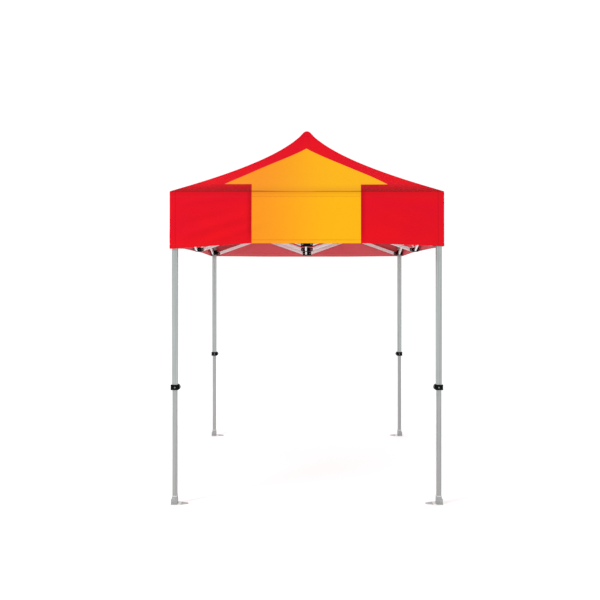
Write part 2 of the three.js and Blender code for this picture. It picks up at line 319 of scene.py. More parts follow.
def metal(name, base, streak, rough, bump, metallic=0.85, speckle=0.0, low=None, depth=1.0):
    """Drawn or cast metal: streaks, faint scuffs and roughness that varies.

    low is a foot's lighter colour on its flat plate near the ground, a painted reflection, with a painted
    highlight at its ear's root; depth is how strongly the tones differ."""
    g = Graph(name)
    place = g.place()
    grain = g.noise(g.mapped(place, streak), 1.0, 4.0, 0.6)
    cloud = g.noise(place, 9.0, 3.0)
    dark = [c * (1 - 0.20 * depth) for c in base]
    light = [min(1, c * (1 + 0.14 * depth)) for c in base]
    colour = g.mix(g.span(grain, 0.25, 0.75), dark, light)
    colour = g.mix(g.span(cloud, 0.55, 0.8, 0.0, 0.25 * depth), colour, [c * 0.7 for c in base])
    scuff = g.noise(g.mapped(place, (90, 90, 30)), 1.0, 6.0, 0.75)
    worn = [min(1, c * 1.3) for c in base]
    colour = g.mix(g.span(scuff, 0.62, 0.74, 0.0, 0.3 * depth), colour, worn)
    if low:
        parts = g.split(place)
        # Painted reflection: a foot's flat plate near the ground turns lighter.
        flat = g.span(parts[2], 0.0075, 0.0045)
        colour = g.mix(flat, colour, low)
        # Painted highlight: a bright strip across the ear near its root.
        off_root = g.math("SUBTRACT", g.math("ABSOLUTE", parts[0]), EAR_ROOT)
        root = g.span(g.math("ABSOLUTE", off_root), 0.011, 0.006)
        colour = g.mix(g.math("MULTIPLY", flat, root), colour, (0.78, 0.78, 0.78))
    roughness = g.span(grain, 0.2, 0.8, rough - 0.06, rough + 0.08)
    height = g.math("ADD", grain, g.math("MULTIPLY", scuff, speckle))
    normal = g.bump(height, bump, 0.0006)
    return g.finish(colour, roughness, normal, Metallic=metallic)


def plastic(name, base, rough, lift, shine):
    """Moulded plastic: fine spark texture, worn lighter in places."""
    g = Graph(name)
    place = g.place()
    spark = g.noise(place, 900.0, 2.0, 0.6)
    wear = g.noise(place, 70.0, 5.0, 0.7)
    colour = g.mix(g.span(wear, 0.5, 0.75, 0.0, 0.5), base, lift)
    roughness = g.span(wear, 0.3, 0.8, rough - 0.08, rough + 0.1)
    normal = g.bump(spark, 0.15, 0.0001)
    return g.finish(colour, roughness, normal, Specular_IOR_Level=shine)


DRAWN = (240, 240, 1.5)  # grain stretched along Z, as a drawn tube's
MATERIALS = {
    "leg_metal": metal("leg_aluminium", (0.385, 0.412, 0.408), DRAWN, rough=0.36, bump=0.12),
    "inner_leg": metal("inner_leg_aluminium", (0.355, 0.372, 0.368), DRAWN, rough=0.38, bump=0.12),
    "bar_metal": metal(
        "bar_silver_coat", (0.78, 0.78, 0.775), (60, 60, 40),
        rough=0.42, bump=0.06, metallic=0.25, speckle=0.4, depth=0.3,
    ),
    # Cast feet: low carries the painted reflection on their flat plates and the painted highlight at each
    # ear's root.
    "foot_metal": metal(
        "foot_cast", (0.36, 0.37, 0.37), (160, 160, 160),
        rough=0.52, bump=0.35, metallic=0.6, speckle=0.8, low=(0.46, 0.46, 0.46),
    ),
    "pin_steel": metal(
        "pin_zinc_steel", (0.17, 0.17, 0.175), (300, 300, 300), rough=0.38, bump=0.08, metallic=0.9
    ),
    "black_plastic": plastic(
        "black_nylon", (0.0025, 0.0025, 0.0028), 0.50, lift=(0.009, 0.009, 0.0095), shine=0.05
    ),
    "grey_plastic": plastic("grey_nylon", (0.16, 0.17, 0.175), 0.45, lift=(0.24, 0.25, 0.255), shine=0.4),
}
COVER_OUT, COVER_IN = cover_outside(), cover_inside()


# ---- Mesh helpers ----
NEAR = 1e-5  # closer than this, two points are one


def new_object(name, bm_or_mesh, materials):
    if isinstance(bm_or_mesh, bmesh.types.BMesh):
        mesh = bpy.data.meshes.new(name)
        bm_or_mesh.to_mesh(mesh)
        bm_or_mesh.free()
    else:
        mesh = bm_or_mesh
    o = bpy.data.objects.new(name, mesh)
    bpy.context.scene.collection.objects.link(o)
    for m in materials:
        mesh.materials.append(m)
    return o


def soften(o, width, segments=2, angle=35.0):
    """Rounds an object's outward edges for good, and shades it smooth with the rest kept crisp.

    Inward edges stay sharp, since rounding them would fill the recesses that other parts move in."""
    if width:
        bm = bmesh.new()
        bm.from_mesh(o.data)
        weight = bm.edges.layers.float.new("bevel_weight_edge")
        for e in bm.edges:
            if len(e.link_faces) == 2 and e.calc_face_angle_signed(0.0) > math.radians(angle):
                e[weight] = 1.0
        bm.to_mesh(o.data)
        bm.free()
        m = o.modifiers.new("round", "BEVEL")
        m.width, m.segments, m.limit_method = width, segments, "WEIGHT"
        m.use_clamp_overlap = True  # narrow faces keep their shape
    graph = bpy.context.evaluated_depsgraph_get()
    mesh = bpy.data.meshes.new_from_object(o.evaluated_get(graph))
    o.modifiers.clear()
    old, o.data = o.data, mesh
    bpy.data.meshes.remove(old)
    mesh.name = o.name
    for p in mesh.polygons:
        p.use_smooth = True
    mesh.set_sharp_from_angle(angle=math.radians(angle))


def piece(name, bm, materials, body, slot, **rounding):
    """A finished hard piece that rides a body; rounding goes to soften()."""
    o = new_object(name, bm, materials)
    soften(o, **{"width": 0, **rounding})
    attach(o, body)
    return o


def cad_shape(node):
    """A CAD node's mesh with its flat faces joined."""
    bm = bmesh.new()
    bm.from_mesh(frame["nodes"][node].data)
    bmesh.ops.remove_doubles(bm, verts=bm.verts, dist=NEAR)
    bmesh.ops.dissolve_limit(bm, angle_limit=math.radians(1.0), verts=bm.verts, edges=bm.edges)
    return bm


def refined(node, width, slot, pick=None, materials=None, segments=2):
    """A copy of a CAD node with its edges rounded, standing for the node."""
    bm = cad_shape(node)
    for f in bm.faces:
        f.material_index = pick(f.calc_center_median()) if pick else 0
    body = frame["nodes"][node]["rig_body"]
    materials = materials or [MATERIALS[slot]]
    o = piece(node + "_part", bm, materials, body, slot, width=width, segments=segments)
    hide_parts(node)


def dome(bm, at, axis, radius, height, rings=3, sides=14, socket=0.0):
    """A domed rivet or bolt head on a surface, closed at its base; socket is a recess's radius."""
    axis = Vector(axis).normalized()
    turn = Vector((0, 0, 1)).rotation_difference(axis).to_matrix().to_4x4()
    place = Matrix.Translation(Vector(at)) @ turn
    profile = [(radius, -0.0004), (radius, height * 0.35)]
    profile += [
        (radius * math.cos(a) * 0.96, height * (0.35 + 0.65 * math.sin(a)))
        for a in np.linspace(0.25, 1.25, rings)
    ]
    if socket:
        profile += [(socket, height), (socket * 0.9, height * 0.35)]
    loops = []
    for r, z in profile:
        loops.append([
            bm.verts.new(place @ Vector((r * math.cos(k), r * math.sin(k), z)))
            for k in np.linspace(0, 2 * math.pi, sides, endpoint=False)
        ])
    for a, b in zip(loops, loops[1:]):
        for i in range(sides):
            j = (i + 1) % sides
            bm.faces.new((a[i], a[j], b[j], b[i]))
    bm.faces.new(list(reversed(loops[0])))
    bm.faces.new(loops[-1])


def rounded_square(half, radius, steps=4, groove=0.0, groove_at=0.0, groove_width=0.0016):
    """The outline of a square tube, with shallow grooves along its faces."""
    side = []
    if groove:
        for s in (-1, 1):
            c = s * groove_at
            side += [(c - groove_width, half), (c - groove_width * 0.4, half - groove),
                     (c + groove_width * 0.4, half - groove), (c + groove_width, half)]
    side.sort()
    arc = [
        (half - radius + radius * math.sin(a), half - radius + radius * math.cos(a))
        for a in np.linspace(0, math.pi / 2, steps + 1)
    ]
    quarter = side + arc
    points = []
    for k in range(4):
        a = -k * math.pi / 2
        points += [(x * math.cos(a) - y * math.sin(a), x * math.sin(a) + y * math.cos(a)) for x, y in quarter]
    return points


def tube_part(bm, centre, outline, inner, z0, z1):
    """A hollow square tube standing on end, its bore open at the top and bottom."""
    rims, bores = (
        [[bm.verts.new((centre.x + x, centre.y + y, z)) for x, y in shape] for z in (z0, z1)]
        for shape in (outline, inner)
    )
    for (a, b), turn in ((rims, 1), (bores, -1)):
        for i in range(len(a)):
            j = (i + 1) % len(a)
            bm.faces.new((a[j], a[i], b[i], b[j]) if turn > 0 else (a[i], a[j], b[j], b[i]))
    for rim, bore in zip(rims, bores):
        edges = [bm.edges.get((r[i], r[(i + 1) % len(r)])) for r in (rim, bore) for i in range(len(r))]
        bmesh.ops.triangle_fill(bm, use_beauty=True, use_dissolve=False, edges=edges)
    bmesh.ops.recalc_face_normals(bm, faces=bm.faces)


# ---- Frame: hard parts ----
OUTER_TUBE, OUTER_BORE = 0.015, 0.0135  # half widths of the legs' tubes and their bores
INNER_TUBE, INNER_BORE = 0.0125, 0.0113
FOOT_IN, FOOT_TOP = 0.012, 0.0455  # where the inner tube starts, and the top of the foot's socket
FOOT_RIM = (0.0440, 0.0470)
LATCH_HOLES = np.arange(0.16, 0.62, 0.09)
CLAMP_BOLT, CLAMP_RIBS = 0.6515, (0.6385, 0.6635)
TOP_RIVETS = (1.672, 1.716)


def frame_parts():
    for side in SIDES:
        for half in ("down", "up"):
            refined(f"arm_{side}_{half}", 0.0016, "bar_metal")
        for end in ("top", "bottom"):
            refined(f"side_bracket_{side}_{end}", 0.0012, "black_plastic")
    for corner, sides in CORNERS.items():
        for side, towards in (sides, sides[::-1]):
            for half in ("down", "up"):
                refined(f"side_bar_{side}_{towards}_{half}", 0.0016, "bar_metal")
        refined(f"top_bracket_{corner}", 0.0015, "black_plastic")
        refined(f"leg_slider_{corner}", 0.0015, "black_plastic")
        refined(f"leg_clamp_{corner}", 0.0018, "black_plastic", segments=3)
        refined(f"clamp_button_{corner}", 0.0014, "grey_plastic", segments=3)
        leg_tubes(corner)
    refined("centre_hub_top", 0.0015, "black_plastic")
    refined(
        "centre_hub_bottom_and_pole", 0.0012, "bar_metal",
        lambda c: 0 if math.hypot(c.x, c.y) < 0.0125 and c.z > LOW_Z + 0.0145 else 1,
        [MATERIALS["bar_metal"], MATERIALS["black_plastic"]],
    )
    refined("pole_head", 0.0012, "black_plastic")


def leg_tubes(corner):
    outer, inner = f"outer_leg_{corner}", f"inner_leg_{corner}"
    low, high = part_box(outer)
    centre = (low + high) / 2
    bm = bmesh.new()
    outline = rounded_square(OUTER_TUBE, 0.0026, groove=0.0005, groove_at=0.0065)
    tube_part(bm, centre, outline, rounded_square(OUTER_BORE, 0.0012, 2), low.z, high.z)
    o = piece(f"{outer}_tube", bm, [MATERIALS["leg_metal"]], outer, "leg_metal")
    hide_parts(outer)

    # Inner tube, with its row of latch holes on the inward face: low rims round black discs.
    inward = -math.copysign(1, centre.x)
    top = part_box(inner)[1].z
    bm = bmesh.new()
    outline, bore = rounded_square(INNER_TUBE, 0.0022), rounded_square(INNER_BORE, 0.001, 2)
    tube_part(bm, centre, outline, bore, FOOT_IN, top)
    piece(f"{inner}_tube", bm, [MATERIALS["inner_leg"]], inner, "foot_metal")
    bm = bmesh.new()
    for z in LATCH_HOLES:
        at = (centre.x + inward * (INNER_TUBE + 0.0001), centre.y, z)
        dome(bm, at, (inward, 0, 0), 0.0052, 0.0007, 2, 16, 0.0042)
    for f in bm.faces:
        f.material_index = 1 if len(f.verts) > 4 else 0
    materials = [MATERIALS["leg_metal"], MATERIALS["black_plastic"]]
    piece(f"latch_holes_{corner}", bm, materials, inner, "foot_metal", angle=50)

    # The foot: the CAD node's own shape below the socket's rim, with its edges rounded.
    bm = cad_shape(inner)
    bmesh.ops.bisect_plane(
        bm, geom=[*bm.verts, *bm.edges, *bm.faces], dist=NEAR,
        plane_co=(0, 0, FOOT_TOP), plane_no=(0, 0, 1), clear_outer=True,
    )
    bmesh.ops.holes_fill(bm, edges=[e for e in bm.edges if e.is_boundary])
    bmesh.ops.recalc_face_normals(bm, faces=bm.faces)
    o = piece(f"foot_{corner}", bm, [MATERIALS["foot_metal"]], inner, "foot_metal", width=0.0016, segments=3)
    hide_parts(inner)


def leg_place(corner):
    """(a leg's centre on the ground, the way out from it along X)"""
    yside, xside = CORNERS[corner]
    sideways = Vector((*OUT[xside], 0))
    return sideways * LEG_AT + Vector((*OUT[yside], 0)) * LEG_AT, sideways


def up_by(z):
    return Vector((0, 0, z))


def fasteners():
    """Pin and rivet heads, clamp bolts, slider latches: one piece per body."""
    heads = {}

    def head(body, at, axis, radius=0.0052, height=0.0024, socket=0.0):
        dome(heads.setdefault(body, bmesh.new()), at, axis, radius, height, socket=socket)

    def pin(body, at, axis):
        """Both ends of the pin through a pair of plates; the outer plate is on the axis's side."""
        head(body, at + axis * PLATE, axis)
        head(body, at - axis * INNER_PLATE, -axis)

    for side in SIDES:
        out = Vector((*OUT[side], 0))
        across = Vector((0, 0, 1)).cross(out)
        middle = out * LEG_AT
        for end, z, plane in (("top", TOP_Z, 1), ("bottom", LOW_Z, -1)):
            body = f"side_bracket_{side}_{end}"
            for s in (-1, 1):
                for face in (-1, 1):
                    at = middle + across * (BAR_PIVOT * s) + out * (PLATE * face)
                    head(body, at + up_by(z), out * face)
            pin(body, out * (LEG_AT - ARM_PIVOT) + up_by(z), -across * plane)
            hub = "centre_frame" if end == "top" else "centre_pole"
            pin(hub, out * ARM_PIVOT + up_by(z), across * plane)
    for corner, (yside, xside) in CORNERS.items():
        for side, towards in ((yside, xside), (xside, yside)):
            along = Vector((*OUT[towards], 0))
            across = Vector((0, 0, 1)).cross(along)
            pivot = Vector((*OUT[side], 0)) * LEG_AT + along * (LEG_AT - LEG_PIVOT)
            pin(f"outer_leg_{corner}", pivot + up_by(TOP_Z), -across)
            pin(f"leg_slider_{corner}", pivot + up_by(LOW_Z), across)
        centre, sideways = leg_place(corner)
        for z in TOP_RIVETS:
            head(f"outer_leg_{corner}", centre + sideways * 0.020 + up_by(z), sideways, 0.0042, 0.002, 0.002)
    for body, bm in heads.items():
        piece(f"pins_{body}", bm, [MATERIALS["pin_steel"]], body, "bar_metal", angle=40)

    for corner in CORNERS:
        centre, sideways = leg_place(corner)
        outer, inner = f"outer_leg_{corner}", f"inner_leg_{corner}"
        grey, black = [MATERIALS["grey_plastic"]], [MATERIALS["black_plastic"]]
        bm = bmesh.new()
        for face in (-1, 1):
            at = centre + Vector((-sideways.x * 0.003, 0.0212 * face, CLAMP_BOLT))
            dome(bm, at, (0, face, 0), 0.0042, 0.0016, 3, 18, 0.0020)
        piece(f"clamp_bolt_{corner}", bm, grey, outer, "grey_plastic", angle=40)
        # Ribs round the clamp, moulded on.
        bm = bmesh.new()
        outline, bore = rounded_square(0.0212, 0.003), rounded_square(0.0195, 0.002, 3)
        for z in CLAMP_RIBS:
            tube_part(bm, centre, outline, bore, z - 0.0012, z + 0.0012)
        piece(f"clamp_ribs_{corner}", bm, black, outer, "black_plastic", width=0.0005)
        # The slider's latch knob, on its outer side.
        bm = bmesh.new()
        dome(bm, centre + sideways * 0.0198 + up_by(LOW_Z), sideways, 0.0085, 0.0012, 2, 20, 0.0064)
        dome(bm, centre + sideways * 0.0200 + up_by(LOW_Z), sideways, 0.0056, 0.0016, 3, 18)
        piece(f"slider_latch_{corner}", bm, grey, f"leg_slider_{corner}", "grey_plastic", angle=40)
        # The socket's bright machined rim on the foot.
        bm = bmesh.new()
        tube_part(bm, centre, rounded_square(0.0147, 0.003), rounded_square(0.0127, 0.002, 3), *FOOT_RIM)
        piece(f"foot_rim_{corner}", bm, [MATERIALS["bar_metal"]], inner, "foot_metal", width=0.0004)


# ---- The cover: one sheet, laid out on one grid from the peak to the hem ----
# Cuts between the gores, from a side's middle (0) to its corner (1), and the columns in each.
GORE_EDGES = (0.0, 0.127, 0.34, 0.55, 0.76, 0.945)
GORE_COLUMNS = (9, 9, 8, 7, 7)
CORNER_COLUMNS = (0.945, 0.9525, 0.9567, 0.961, 0.972, 0.983, 0.990, 0.9945, 0.9975, 1.0)
PATCH_ROWS = 8
# The roof's rows from peak (0) to eave (1), and the valance's in metres below the eave.
ROOF_ROWS = np.concatenate([
    [0.0003, 0.004, 0.009, 0.015, 0.022, 0.031, 0.042, 0.056],
    np.linspace(0.075, 0.97, 46), [0.978, 0.985, 0.990, 0.994, 0.997, 0.999, 1.0],
])
DROPS = np.concatenate([
    [0.0012, 0.003, 0.006, 0.010, 0.016, 0.022, 0.026, 0.0285, 0.031, 0.036],
    np.linspace(0.045, 0.272, 22), [0.279, 0.2825, 0.2845, 0.287, 0.293, 0.299, 0.303, 0.305],
])


def side_columns():
    """(positions from -1 to just under 1 along one side, the gores' first columns)."""
    right, cuts = [], []
    for a, b, n in zip(GORE_EDGES, GORE_EDGES[1:], GORE_COLUMNS):
        cuts.append(len(right))
        right += list(np.linspace(a, b, n, endpoint=False))
    cuts.append(len(right))
    right += list(CORNER_COLUMNS)
    left = [-t for t in reversed(right[1:])]
    t = left + right[:-1]
    zero = len(left)
    starts = sorted([zero - c for c in cuts if c] + [zero + c for c in cuts if c])
    return np.array(t), starts


COLUMNS, STARTS = side_columns()
N_SIDE = len(COLUMNS)
N_ALL = 4 * N_SIDE


def roof_z(u):
    """The roof's height at a share u of the way from peak to eave."""
    def run(t):
        return (t * t + ROOF_TIP**2) ** (ROOF_POWER / 2) - ROOF_TIP**ROOF_POWER

    swell = HEAD_SWELL * bell(u * HALF - HEAD_RADIUS, 0.72 * HEAD_RADIUS)
    return PEAK_Z - 0.0005 - (PEAK_Z - EAVE_Z) * (run(u) / run(1.0)) + swell


def crease(x, d, line):
    """A soft diagonal fold: full along its middle, gone at its ends.

    line is its start's x and drop, its end's, its width and its rise, in metres."""
    x0, d0, x1, d1, width, rise = line
    a, b = np.array([x0, d0]), np.array([x1, d1])
    along = (b - a) / np.linalg.norm(b - a)
    px, pd = x - a[0], d - a[1]
    t = (px * along[0] + pd * along[1]) / np.linalg.norm(b - a)
    off = px * -along[1] + pd * along[0]
    return rise * bell(off, width) * smooth(t, -0.05, 0.25) * (1 - smooth(t, 0.65, 1.15))


CREASE_GAIN = 2.5
FRONT_CREASES = (
    (-0.755, 0.262, -0.300, 0.130, 0.026, 0.0042),
    (-0.740, 0.190, -0.380, 0.120, 0.022, -0.0022),
    (-0.600, 0.295, -0.230, 0.185, 0.022, 0.0030),
    (-0.740, 0.070, -0.420, 0.030, 0.020, 0.0022),
    (0.330, 0.060, 0.745, 0.262, 0.024, 0.0040),
    (0.360, 0.140, 0.700, 0.290, 0.022, -0.0020),
    (0.420, 0.040, 0.745, 0.170, 0.020, 0.0024),
    (-0.220, 0.060, 0.200, 0.090, 0.045, 0.0012),
)


def side_creases(side):
    if side == "front":
        return FRONT_CREASES
    lines = []
    for k in range(7):
        s = 1 if k % 2 else -1
        x0 = s * RNG.uniform(0.62, 0.75)
        x1 = s * RNG.uniform(0.10, 0.40)
        d0, d1 = RNG.uniform(0.16, 0.29), RNG.uniform(0.04, 0.14)
        width, rise = RNG.uniform(0.018, 0.030), RNG.uniform(0.0015, 0.0045)
        lines.append((x0, d0, x1, d1, width, rise if k < 5 else -rise))
    return tuple(lines)


def waves(x, seed, count, longest, shortest):
    """A smooth sum of waves, the same for the same seed."""
    r = np.random.default_rng(seed)
    total = 0
    for length in np.geomspace(longest, shortest, count):
        total = total + math.sqrt(length / longest) * np.sin(2 * math.pi * x / length + r.uniform(0, 6.28))
    return total / count


SEAM_DROPS, HEM_DROP = (0.0295, 0.2840), 0.2845  # the seams' middles, and the hem's folded edge
FACING = 0.033  # the end seams' distance from the corners
HEM_SHIFT = {  # metres the hem lies above its level: left end, middle, right end
    "front": (-0.015, 0.0160, 0.001),
    "right": (0.000, 0.004, -0.008),
    "back": (-0.008, -0.012, -0.008),
    "left": (-0.008, 0.004, -0.012),
}


LEVEL, SLOPED = 0.33, 0.43  # the hem's level middle, and the run that leads to each end


def hem_shift(side, x):
    a, b, c = HEM_SHIFT[side]
    left = b + (a - b) * np.clip((-x - LEVEL) / SLOPED, 0, 1)
    right = b + (c - b) * np.clip((x - LEVEL) / SLOPED, 0, 1)
    return np.where(x < 0, left, right)


# The roof's sag between its hips, the folds at its peak, its ripples and its slow rolls, in metres.
SAG, FAN, RIPPLE, ROLL = 0.009, 0.0016, 0.0030, 0.0022
EAVE_RIDGE, HIP_RIDGE = 0.0011, 0.0008  # how far the seam allowances stand up
BELLY, WRINKLE = 0.0030, 0.0009  # the valances' fullness and fine wrinkles
SEWN_IN, EAVE_IN, FACING_IN, HEM_OUT = 0.0011, 0.0012, 0.0009, 0.0006  # what sewing does to them
CORNER_PULL = 0.0016  # how far a valance's corner is drawn in


def roof_height(t, u, s):
    """The height of a row at u from peak to eave, for columns at t along side number s."""
    middle = 1 - t**2
    z = roof_z(u) - SAG * middle * math.sin(math.pi * min(1.0, u**0.85))
    # Tension folds run out from the peak; ripples and slow rolls cross the slope.
    z += FAN * bell(u - 0.10, 0.10) * np.cos(t * 3 * math.pi) * (1 - t**8)
    z += RIPPLE * waves(t * (0.35 + 0.65 * u), 40 + s, 5, 1.1, 0.28) * middle * smooth(u, 0.15, 0.5)
    slack = middle * smooth(u, 0.3, 0.8) * (1 - smooth(u, 0.93, 1.0))
    z += ROLL * np.sin(u * 19 + 2.0 * t + s) * slack
    # The eave's seam allowance stands up a little, and the hips are ridged by theirs.
    z += EAVE_RIDGE * bell(1 - u, 0.008) * smooth(middle, 0.0, 0.05)
    ridge = bell((1 - np.abs(t)) * u * HALF, 0.006)
    return z + HIP_RIDGE * ridge * smooth(u, 0.05, 0.2) * (1 - smooth(u, 0.95, 1.0))


def valance_bulge(t, d, s, creases):
    """How far a row d below the eave stands out, for columns at t along side number s."""
    x, share = t * HALF, d / VALANCE
    near_corner = smooth(np.abs(t), 0.80, 0.985)
    bulge = 0.0012 + BELLY * share * (1 - near_corner)
    bulge = bulge + BELLY * share**1.5 * waves(x, 80 + s, 6, 0.62, 0.11) * (1 - near_corner)
    bulge = bulge + WRINKLE * waves(x + 0.3 * d, 90 + s, 4, 0.10, 0.035) * smooth(d, 0.02, 0.08)
    for line in creases:
        bulge = bulge + CREASE_GAIN * crease(x, d, line) * (1 - 0.7 * near_corner)
    # Sewn lines pull in, and the hem's double cloth stands out.
    for seam in SEAM_DROPS:
        bulge = bulge - SEWN_IN * bell(d - seam, 0.0022)
    bulge = bulge + HEM_OUT * float(d > HEM_DROP)
    bulge = bulge - FACING_IN * bell(HALF * (1 - np.abs(t)) - FACING, 0.0028)
    return bulge - EAVE_IN * bell(d, 0.004)


def sheet_points():
    """The outer face of the whole cover: rows from peak to hem, columns round it."""
    low = len(ROOF_ROWS)
    points = np.zeros((low + len(DROPS), N_ALL, 3))
    t = COLUMNS
    x = t * HALF
    pull = CORNER_PULL * bell(HALF * (1 - np.abs(t)), 0.0030)
    for s, side in enumerate(SIDES):
        out = np.array([*OUT[side], 0.0])
        across = np.array([-out[1], out[0], 0.0])
        columns = slice(s * N_SIDE, (s + 1) * N_SIDE)
        for i, u in enumerate(ROOF_ROWS):
            at = u * HALF - 0.0006 * smooth(u, 0.98, 1.0)
            points[i, columns] = np.outer(t * u * HALF, across) + np.outer(0 * t + at, out)
            points[i, columns, 2] = roof_height(t, u, s)
        creases = side_creases(side)
        for i, d in enumerate(DROPS, low):
            at = HALF + valance_bulge(t, d, s, creases) - pull
            points[i, columns] = np.outer(x - np.sign(x) * pull, across) + np.outer(at, out)
            points[i, columns, 2] = EAVE_Z - d + hem_shift(side, x) * (d / VALANCE) ** 1.6
    # A corner column belongs to two sides, so it takes the height midway between its neighbours.
    for j in range(0, N_ALL, N_SIDE):
        before, after = points[:, j - 1], points[:, (j + 1) % N_ALL]
        points[low:, j, 2] = 0.5 * (before[low:, 2] + after[low:, 2])
    return points


def sheet_normals(points):
    """The grid's outward normals; central steps would round the hips too widely on uneven columns."""
    ahead, behind = np.roll(points, -1, axis=1), np.roll(points, 1, axis=1)
    down = np.concatenate([points[1:], points[-1:]])
    up = np.concatenate([points[:1], points[:-1]])
    left = np.cross(down - up, points - behind)
    right = np.cross(down - up, ahead - points)
    for part in (left, right):
        part /= np.maximum(np.linalg.norm(part, axis=2, keepdims=True), 1e-12)
    normals = left + right
    normals /= np.maximum(np.linalg.norm(normals, axis=2, keepdims=True), 1e-12)
    return normals


POINTS = sheet_points()
NORMALS = sheet_normals(POINTS)
# Each row's print coordinate (0 peak, 1 eave, 2 hem), and its distance from the peak along the cloth.
STATIONS = np.concatenate([ROOF_ROWS, 1 + DROPS / VALANCE])
STEPS = np.linalg.norm(np.diff(POINTS[:, N_SIDE // 2], axis=0), axis=1)
LENGTHS = np.concatenate([[0], np.cumsum(STEPS)])


def cloth_piece(name, rows, first, last, body):
    """(object, grid): the sheet between two rows and two columns, as a closed skin of cloth on a body.

    Its split normals are the whole sheet's, so that no cut between pieces shows at rest."""
    a, b = rows
    cols = list(range(first, last + 1))
    n, m = b - a + 1, len(cols)
    wrap = [c % N_ALL for c in cols]
    grid = POINTS[a : b + 1][:, wrap]
    outer = grid.reshape(-1, 3)
    normals = NORMALS[a : b + 1][:, wrap].reshape(-1, 3)
    verts = np.concatenate([outer, outer - normals * CLOTH])
    skin = n * m
    faces, sides, uv_print, uv_cloth, loop_normals = [], [], [], [], []

    def uv_of(i, j, face_col):
        """UVs of grid point (i, j) as seen from the face that starts at column face_col."""
        side = (cols[face_col] % N_ALL) // N_SIDE
        k = cols[j] % N_ALL - side * N_SIDE
        t = 1.0 if (k >= N_SIDE or k < 0 or (j > face_col and k == 0)) else COLUMNS[k]
        v = STATIONS[a + i]
        x = t * HALF * min(v, 1.0)
        return (x + 2.0 * side, v), (x, LENGTHS[a + i])

    def face(corners, inside, face_col, flat=None):
        """A face through (layer, i, j) corners in order; flat is its normal where it isn't the sheet's."""
        faces.append([layer * skin + i * m + j for layer, i, j in corners])
        sides.append(inside)
        for layer, i, j in corners:
            p, c = uv_of(i, j, face_col)
            uv_print.append(p)
            uv_cloth.append(c)
            nrm = normals[i * m + j]
            loop_normals.append(flat if flat is not None else (nrm if layer == 0 else -nrm))

    for i in range(n - 1):
        for j in range(m - 1):
            face([(0, i, j), (0, i + 1, j), (0, i + 1, j + 1), (0, i, j + 1)], 0, j)
            face([(1, i, j), (1, i, j + 1), (1, i + 1, j + 1), (1, i + 1, j)], 1, j)

    def rim(p, q, face_col):
        """The cut edge from grid point p to q, through the cloth's thickness."""
        (i0, j0), (i1, j1) = p, q
        edge = verts[i1 * m + j1] - verts[i0 * m + j0]
        depth = verts[skin + i0 * m + j0] - verts[i0 * m + j0]
        flat = np.cross(depth, edge)
        size = np.linalg.norm(flat)
        flat = flat / size if size > 1e-12 else (0, 0, 1)
        face([(0, i1, j1), (0, i0, j0), (1, i0, j0), (1, i1, j1)], 1, face_col, flat)

    for j in range(m - 1):
        rim((n - 1, j), (n - 1, j + 1), j)
        rim((0, j + 1), (0, j), j)
    for i in range(n - 1):
        rim((i, 0), (i + 1, 0), 0)
        rim((i + 1, m - 1), (i, m - 1), m - 2)
    mesh = bpy.data.meshes.new(name)
    mesh.from_pydata([tuple(v) for v in verts], [], faces)
    for label, values in (("print", uv_print), ("cloth", uv_cloth)):
        layer = mesh.uv_layers.new(name=label)
        layer.data.foreach_set("uv", np.array(values, np.float32).ravel())
    for p, inside in zip(mesh.polygons, sides):
        p.material_index = inside
        p.use_smooth = True
    mesh.normals_split_custom_set([tuple(v) for v in loop_normals])
    o = new_object(name, mesh, [COVER_OUT, COVER_IN])
    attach(o, body)
    return o, grid


FOLDED_HALF = 0.1476  # half the cover's width when the frame is folded
CORNER_GAP = 0.0022  # a folded valance ends this far short of the corner
OVERHANG = 0.010  # how far the gathered roof may stand out past the valances
RIM_Z = EAVE_Z + 0.0035  # the gathered roof's edge lies on top of the folded valances
CORNER_TOP, CORNER_IN = 1.7375, 0.099  # over the corner brackets, from this far out along both X and Y
MIDDLE_TOP, MIDDLE_IN = 1.7085, 0.078  # and over the middle brackets
POLE_DROP = 0.4756  # how far the pole, and with it the peak, comes down
SOLVER_STEPS = 40


def gather(grid, middle):
    """(axis, keep) that draws a gore in towards the peak, its eave ending on the folded valances."""
    peak = np.array([0, 0, PEAK_Z])
    goal = np.array([*(middle[:2] * (FOLDED_HALF / HALF)), RIM_Z + POLE_DROP])
    limit = FOLDED_HALF + OVERHANG
    for _ in range(SOLVER_STEPS):
        way = middle - goal
        axis = way / np.linalg.norm(way)
        share = np.linalg.norm(way) / float((middle - peak) @ axis)
        points = grid.reshape(-1, 3)
        points = points - share * np.outer((points - peak) @ axis, axis)
        for k in (0, 1):
            goal[k] -= max(0.0, points[:, k].max() - limit) + min(0.0, points[:, k].min() + limit)
        z = points[:, 2] - POLE_DROP
        reach = np.sort(np.abs(points[:, :2]), axis=1)
        zones = (
            (reach[:, 1] > FOLDED_HALF - 0.002, RIM_Z),
            (reach[:, 0] > CORNER_IN, CORNER_TOP),
            (reach[:, 1] > MIDDLE_IN, MIDDLE_TOP),
        )
        goal[2] += max(top - z[zone].min() for zone, top in zones if zone.any())
    return axis, 1 - share


PATCH_TOP, PATCH_UNDER = 0.0011, 0.0002  # the patch's faces above the cover


